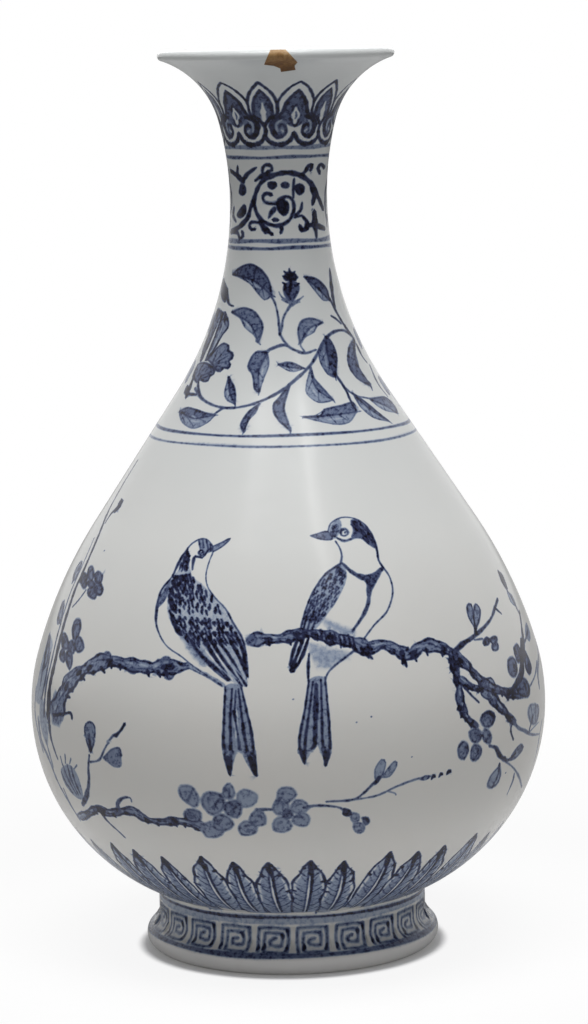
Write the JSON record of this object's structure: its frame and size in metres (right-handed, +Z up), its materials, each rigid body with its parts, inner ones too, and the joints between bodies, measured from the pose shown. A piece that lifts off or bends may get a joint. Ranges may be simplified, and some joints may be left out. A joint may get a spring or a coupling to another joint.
{
  "type": "pear-shaped bottle vase",
  "caption": "Pear-shaped porcelain bottle vase with a slender trumpet neck and a rolled foot, thrown in sections and luted.",
  "frame": {"origin": "centre of the foot's contact ring, on the surface the vase stands on", "axes": "+Z up the vase's axis, -Y to the front, where the filled chip is"},
  "size_m": [0.184, 0.184, 0.32],
  "materials": {
    "porcelain": "clear glossy glaze over blue painting",
    "slip": "fired, glazed over",
    "lacquer_fill": "semi-matt brown fill"
  },
  "bodies": {
    "root": {"foot_ring": "porcelain", "foot_slip": "slip", "lower_body": "porcelain", "belly_slip": "slip", "upper_body": "porcelain", "neck_slip": "slip", "neck": "porcelain", "mouth_slip": "slip", "mouth": "porcelain", "rim_fill": "lacquer_fill"}
  },
  "joints": []
}
